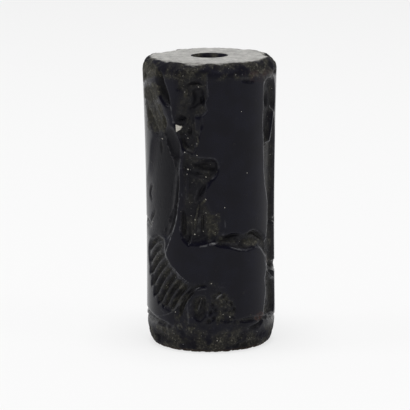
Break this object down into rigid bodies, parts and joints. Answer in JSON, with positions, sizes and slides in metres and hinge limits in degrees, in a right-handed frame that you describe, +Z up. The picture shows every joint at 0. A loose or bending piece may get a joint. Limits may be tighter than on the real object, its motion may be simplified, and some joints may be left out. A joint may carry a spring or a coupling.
{
  "type": "cylinder seal",
  "caption": "Dark stone cylinder seal, slightly waisted and worn, bored end to end, with a sunk frieze of robed figures and a winged beast round its wall.",
  "frame": {"origin": "centre of the foot face, on the axis of the bore, where the seal stands", "axes": "+Z up along the bore; -Y out of the front, between the worshipper and the attendant; +X to the right as the front is seen"},
  "size_m": [0.0116, 0.0116, 0.025],
  "materials": {
    "seal_stone": "blue-black hard stone, softly polished ground, matt olive-brown earth in the cuts, pale grey wear on rims and on the top face, small lime grains"
  },
  "bodies": {
    "root": {"seal_stone": "seal_stone"}
  },
  "joints": []
}
